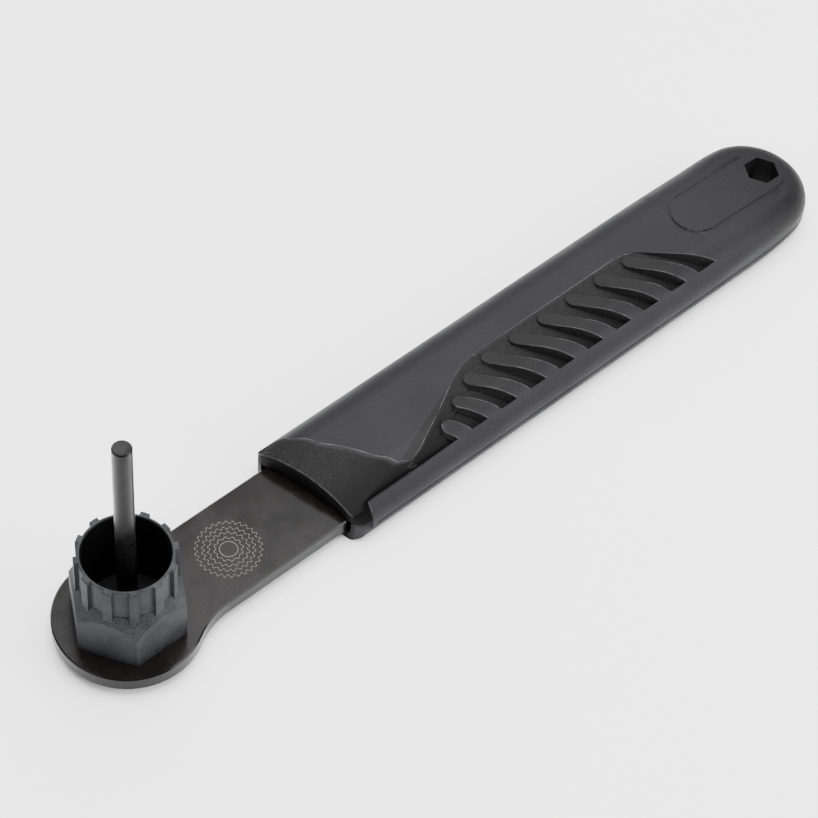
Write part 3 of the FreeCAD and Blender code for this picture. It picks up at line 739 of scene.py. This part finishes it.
@dataclass
class RoundedHandle:
    """The moulded handle with the small rounds that catch the light along its upper edges, where a
    painted highlight makes them paler.

    Lengths are in metres and turns and angles in degrees. The four limits steep, upright,
    across and lengthwise are parts of a unit normal or direction.
    """

    node: str = "handle_grip"
    form: HandleForm = HandleForm()
    merge: float = 0.0005 * MM
    flat_turn: float = 0.2
    crest_round: float = 0.14 * MM
    rim_round: float = 0.30 * MM
    round_steps: int = 2
    reach: float = 1.5
    least_turn: float = 8.0
    rim_turn: float = 45.0
    most_turn: float = 180.0
    smooth_angle: float = 35.0
    flat_weight: int = 100
    on_form: float = 0.10 * MM
    cut_end: float = 176.5 * MM
    lip_end: float = 56.5 * MM
    lip_bottom: float = 6.4 * MM
    walls_from: float = 66.0 * MM
    wall_sides: Range = (-13.2 * MM, 2.0 * MM)
    wall_bottom: float = 6.8 * MM
    rim_slack: float = 0.5 * MM
    rim_bottom: float = 5.5 * MM
    steep: float = 0.5
    upright: float = 0.9
    across: float = 0.4
    lengthwise: float = 0.98

    def is_pad_wall(self, polygon: bpy.types.MeshPolygon) -> bool:
        """Whether a face is one of the steep sides between the pads and the recess's floor.

        Args:
            polygon: The face.

        Returns:
            True for a pad's side.
        """
        x, y, z = polygon.center
        low, high = self.wall_sides
        return (abs(polygon.normal.z) < self.steep and self.walls_from < x < self.cut_end
                and low < y < high and z > self.wall_bottom)

    def is_outside(self, point: Vector) -> bool:
        """Whether a point lies behind the recess's slanted rear rim or below the strip's top.

        Args:
            point: The point, in metres.

        Returns:
            True if its edge isn't rounded.
        """
        return point.x > self.form.rear(point.y) + self.rim_slack or point.z < self.rim_bottom

    def is_upper_edge(self, start: Vector, end: Vector) -> bool:
        """Whether an edge is one of those that the mould's polish has rounded.

        Args:
            start: The edge's one end, in metres.
            end: Its other end.

        Returns:
            True on the rim of the recess, on the pads' rims and on the front lip.
        """
        run = (end - start).normalized()
        lowest = min(start.z, end.z)
        rearmost = max(start.x, end.x)
        if abs(run.z) > self.upright or rearmost > self.cut_end:
            return False
        if self.is_outside(start) or self.is_outside(end):
            return False
        if rearmost < self.lip_end and lowest > self.lip_bottom and abs(run.y) > self.across:
            return True
        if abs(run.x) > self.lengthwise and lowest < self.form.top - self.on_form:
            return False
        return max(self.form.depth(start), self.form.depth(end)) < self.on_form

    def select_upper_edges(self, mesh: bpy.types.Mesh, least: float, most: float) -> int:
        """Selects the edges to round, and nothing else.

        Args:
            mesh: The handle's mesh.
            least: The smallest turn between an edge's faces, in degrees.
            most: The largest turn between them.

        Returns:
            How many edges are selected.
        """
        for part in (*mesh.vertices, *mesh.edges, *mesh.polygons):
            part.select = False
        sides: dict[tuple[int, int], list[Vector]] = {}
        for polygon in mesh.polygons:
            for key in polygon.edge_keys:
                sides.setdefault(key, []).append(polygon.normal.copy())
        chosen = 0
        for edge in mesh.edges:
            normals = sides.get(edge.key, [])
            if len(normals) != 2:
                continue
            turn = normals[0].angle(normals[1], 0.0)
            if not math.radians(least) <= turn < math.radians(most):
                continue
            ends = [mesh.vertices[index] for index in edge.vertices]
            if self.is_upper_edge(ends[0].co, ends[1].co):
                edge.select = True
                for vertex in ends:
                    vertex.select = True
                chosen += 1
        return chosen

    def round_edges(self, mesh: bpy.types.Mesh, size: float, least: float, most: float) -> None:
        """Rounds the edges whose faces turn by a given range.

        Args:
            mesh: The handle's mesh.
            size: How far the round reaches along each face, in metres.
            least: The smallest turn, in degrees.
            most: The largest turn.
        """
        chosen = self.select_upper_edges(mesh, least, most)
        rims = [vertex.co.copy() for vertex in mesh.vertices if vertex.select]
        bpy.ops.object.mode_set(mode="EDIT")
        # The new rounds take the finish of painted highlight.
        bpy.ops.mesh.bevel(offset_type="ABSOLUTE", offset=size, segments=self.round_steps,
                           profile=0.5, affect="EDGES", clamp_overlap=False, loop_slide=True,
                           material=Look.RUBBED.value)
        bpy.ops.object.mode_set(mode="OBJECT")
        moved = self.pull_back_strays(mesh, rims, size * self.reach)
        log.info("rounded %d edges, pulled back %d points", chosen, moved)

    def pull_back_strays(self, mesh: bpy.types.Mesh, rims: list[Vector], limit: float) -> int:
        """Brings back the new points that slid far along a flat face.

        Args:
            mesh: The handle's mesh, with its rounds.
            rims: The points of the edges as they were before the rounding.
            limit: How far a point may lie from them, in metres.

        Returns:
            How many points moved.
        """
        tree = KDTree(len(rims))
        for number, point in enumerate(rims):
            tree.insert(point, number)
        tree.balance()
        moved = 0
        for vertex in mesh.vertices:
            nearest, _, distance = tree.find(vertex.co)
            if vertex.select and distance > limit:
                vertex.co = nearest + (vertex.co - nearest) * (limit / distance)
                moved += 1
        return moved

    def build(self, frame: dict) -> bpy.types.Object:
        """Builds the handle from a merged copy of its solid.


        Returns:
            The rounded handle's object.
        """
        mesh = frame["nodes"][self.node].data.copy()
        mesh.materials.clear()
        handle = bpy.data.objects.new("moulded_handle", mesh)
        bpy.context.scene.collection.objects.link(handle)
        for finish in (MouldedHandle(), PaintedHighlightEdge(), PadWall()):
            mesh.materials.append(finish.make())
        deselect_all()
        handle.select_set(True)
        bpy.context.view_layer.objects.active = handle
        bpy.ops.object.mode_set(mode="EDIT")
        bpy.ops.mesh.select_all(action="SELECT")
        bpy.ops.mesh.remove_doubles(threshold=self.merge)
        bpy.ops.mesh.dissolve_limited(angle_limit=math.radians(self.flat_turn))
        bpy.context.tool_settings.mesh_select_mode = (False, True, False)
        bpy.ops.object.mode_set(mode="OBJECT")
        for polygon in mesh.polygons:
            # The pads' steep sides get the paler finish of painted light.
            look = Look.WALL if self.is_pad_wall(polygon) else Look.MOULDED
            polygon.material_index = look.value
        self.round_edges(mesh, self.crest_round, self.least_turn, self.rim_turn)
        self.round_edges(mesh, self.rim_round, self.rim_turn, self.most_turn)
        bpy.ops.object.shade_smooth_by_angle(angle=math.radians(self.smooth_angle))
        level = handle.modifiers.new("even_shading", "WEIGHTED_NORMAL")
        level.keep_sharp = True
        level.weight = self.flat_weight
        bpy.ops.object.modifier_apply(modifier=level.name)
        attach(handle, BODY)
        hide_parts(self.node)
        return handle


@dataclass
class ToothedRing:
    """One thin line of the etched mark: a closed ring, plain or with square teeth."""

    name: str
    tip_radius: float
    teeth: int = 0
    tooth_depth: float = 0.0

    def build(self, centre: Vector, line_wide: float, line_tall: float) -> bpy.types.Object:
        """Builds the ring as a thin raised ribbon.

        Args:
            centre: The mark's centre on the blade's top face, in metres.
            line_wide: The line's width, in metres.
            line_tall: How far it stands above the blade, in metres.

        Returns:
            The ring's object.
        """
        points = self.teeth * POINTS_PER_TOOTH if self.teeth else PLAIN_POINTS
        root = self.tip_radius - self.tooth_depth
        deselect_all()
        bpy.ops.mesh.primitive_circle_add(vertices=points, radius=root, fill_type="NOTHING",
                                          location=centre - Vector((0, 0, RING_SUNK)))
        ring = bpy.context.object
        ring.name = self.name
        if self.teeth:
            for vertex in ring.data.vertices:
                vertex.select = vertex.index % POINTS_PER_TOOTH in TIP_POINTS
            for edge in ring.data.edges:
                edge.select = all(index % POINTS_PER_TOOTH in TIP_POINTS for index in edge.vertices)
            bpy.ops.object.mode_set(mode="EDIT")
            bpy.context.tool_settings.mesh_select_mode = (True, False, False)
            grow = self.tip_radius / root
            bpy.ops.transform.resize(value=(grow, grow, 1.0), center_override=centre)
        bpy.ops.object.mode_set(mode="EDIT")
        bpy.ops.mesh.select_all(action="SELECT")
        bpy.ops.mesh.extrude_edges_move()
        shrink = 1.0 - line_wide / self.tip_radius
        bpy.ops.transform.resize(value=(shrink, shrink, 1.0), center_override=centre)
        bpy.ops.mesh.select_all(action="SELECT")
        bpy.ops.mesh.normals_make_consistent(inside=False)
        bpy.ops.object.mode_set(mode="OBJECT")
        wall = ring.modifiers.new("line", "SOLIDIFY")
        wall.thickness = line_tall + RING_SUNK
        wall.offset = -1.0 if ring.data.polygons[0].normal.z < 0 else 1.0
        bpy.ops.object.modifier_apply(modifier=wall.name)
        settle(ring)
        return ring


@dataclass
class EtchedMark:
    """A plain sprocket drawing etched on the blade, from thin concentric rings.

    Each row of rings gives a ring's outer radius, its number of teeth and their depth.
    """

    centre: Range = (28.7 * MM, -0.6 * MM)
    blade_top: float = 4.0 * MM
    line_wide: float = 0.17 * MM
    line_tall: float = 0.012 * MM
    rings: tuple[tuple[float, int, float], ...] = (
        (2.2 * MM, 0, 0.0),
        (3.5 * MM, 12, 0.45 * MM),
        (4.95 * MM, 18, 0.55 * MM),
        (6.3 * MM, 24, 0.6 * MM),
        (7.9 * MM, 30, 0.65 * MM),
    )

    def build(self, finish: EtchedLine) -> list[bpy.types.Object]:
        """Builds every ring on the blade's body.

        Args:
            finish: The lines' finish.

        Returns:
            The rings' objects.
        """
        material = finish.make()
        made = []
        for number, (radius, teeth, depth) in enumerate(self.rings, start=1):
            ring = ToothedRing("etched_ring_%d" % number, radius, teeth, depth).build(
                Vector((*self.centre, self.blade_top)), self.line_wide, self.line_tall)
            ring.data.materials.append(material)
            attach(ring, BODY)
            made.append(ring)
        return made


@dataclass(frozen=True)
class Lamp:
    """One soft square lamp, with its distance and width in metres and its power in watts."""

    name: str
    side: Side
    distance: float
    size: float
    power: float


@dataclass
class Studio:
    """A pale floor, soft lamps and the camera that takes the photograph's view."""

    floor_place: Triple = (0.1, 0.0, -2.8 * MM)
    floor_size: float = 6.0
    sky_strength: float = 0.6
    lamps: tuple[Lamp, ...] = (
        Lamp("top_lamp", Side.ABOVE, 1.1, 1.0, 40.0),
        Lamp("far_lamp", Side.FAR, 1.2, 1.3, 16.0),
        Lamp("near_lamp", Side.NEAR, 0.9, 0.6, 13.0),
        Lamp("head_lamp", Side.HEAD_END, 0.8, 0.6, 2.0),
    )
    camera_place: Triple = (-218.900 * MM, -295.252 * MM, 556.559 * MM)
    camera_right: Triple = (0.744262, -0.665768, 0.053180)
    camera_up: Triple = (0.503682, 0.611786, 0.609937)
    lens: float = 129.1
    sensor: float = 36.0
    clip: Range = (0.01, 20.0)
    centre: Triple = (99.0 * MM, 0.0, 5.0 * MM)

    def build(self) -> None:
        """Builds the floor, the lamps, the world and the camera."""
        self.lay_floor()
        self.light_sky()
        for lamp in self.lamps:
            self.hang_lamp(lamp)
        self.set_camera()

    def lay_floor(self) -> None:
        """Lays the floor under the handle's flat underside."""
        deselect_all()
        bpy.ops.mesh.primitive_plane_add(size=self.floor_size, location=self.floor_place)
        floor = bpy.context.object
        floor.name = "floor"
        settle(floor)
        floor.data.materials.append(PaleFloor().make())

    def light_sky(self) -> None:
        """Lights everything softly from all sides."""
        world = bpy.data.worlds.new("soft_sky")
        world.use_nodes = True
        sky = world.node_tree.nodes["Background"]
        sky.inputs["Color"].default_value = (1.0, 1.0, 1.0, 1.0)
        sky.inputs["Strength"].default_value = self.sky_strength
        bpy.context.scene.world = world

    def hang_lamp(self, lamp: Lamp) -> None:
        """Hangs one soft lamp that faces the tool's middle.

        Args:
            lamp: The lamp to hang.
        """
        azimuth, elevation = (math.radians(angle) for angle in lamp.side.value)
        away = Vector((math.cos(elevation) * math.cos(azimuth),
                       math.cos(elevation) * math.sin(azimuth), math.sin(elevation)))
        light = bpy.data.lights.new(lamp.name, "AREA")
        light.shape = "RECTANGLE"
        light.size = lamp.size
        light.size_y = lamp.size
        light.energy = lamp.power
        holder = bpy.data.objects.new(lamp.name, light)
        holder.location = Vector(self.centre) + away * lamp.distance
        holder.rotation_euler = away.to_track_quat("Z", "Y").to_euler()
        bpy.context.scene.collection.objects.link(holder)

    def set_camera(self) -> None:
        """Places the camera at the photograph's viewing angle."""
        camera = bpy.data.cameras.new("photo_view")
        camera.sensor_width = self.sensor
        camera.lens = self.lens
        camera.clip_start, camera.clip_end = self.clip
        holder = bpy.data.objects.new("photo_view", camera)
        right = Vector(self.camera_right).normalized()
        up = Vector(self.camera_up).normalized()
        back = right.cross(up).normalized()
        turn = Matrix((right, up, back)).transposed().to_4x4()
        holder.matrix_world = Matrix.Translation(Vector(self.camera_place)) @ turn
        bpy.context.scene.collection.objects.link(holder)
        bpy.context.scene.camera = holder


def main(frame: dict) -> None:
    """Builds the tool's looks on the frame, then the studio.
    """
    logging.basicConfig(level=logging.INFO, format="%(message)s")
    solids = (
        SolidPiece("blade", CoatedBlade()),
        SolidPiece("lockring_socket", PhosphatedSocket()),
        SolidPiece("guide_pin", SatinPin()),
    )
    for solid in solids:
        piece = solid.dress(frame)
        log.info("dressed %s, %d faces", piece.name, len(piece.data.polygons))
    handle = RoundedHandle().build(frame)
    log.info("built %s, %d faces", handle.name, len(handle.data.polygons))
    for ring in EtchedMark().build(EtchedLine()):
        log.info("built %s", ring.name)
    Studio().build()
    log.info("set the studio")


if __name__ == "__main__":
    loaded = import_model()
    main(loaded)
